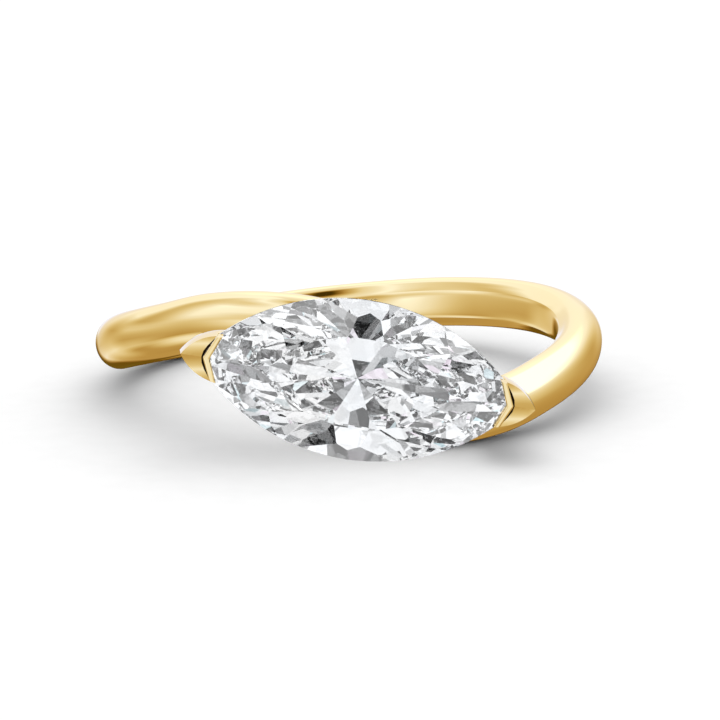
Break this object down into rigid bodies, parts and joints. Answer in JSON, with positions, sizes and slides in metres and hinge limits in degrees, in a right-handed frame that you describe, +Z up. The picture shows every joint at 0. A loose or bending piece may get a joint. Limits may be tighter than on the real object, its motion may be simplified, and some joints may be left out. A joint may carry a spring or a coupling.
{
  "type": "east west ring",
  "caption": "Wavy bypass finger ring in polished yellow metal, holding a marquise stone lengthwise across the finger by a V-shaped prong on each tip; lying on its side.",
  "frame": {"origin": "where the finger's axis meets the surface on which the ring lies", "axes": "+Z up from that surface, -Y the way the stone faces, +X along the stone to the viewer's right"},
  "size_m": [0.021, 0.0235, 0.0063],
  "materials": {
    "gold": "yellow gold plate over silver, mirror polished",
    "stone": "clear, cut with many small facets"
  },
  "bodies": {
    "root": {"shank": "gold", "stone": "stone"}
  },
  "joints": []
}
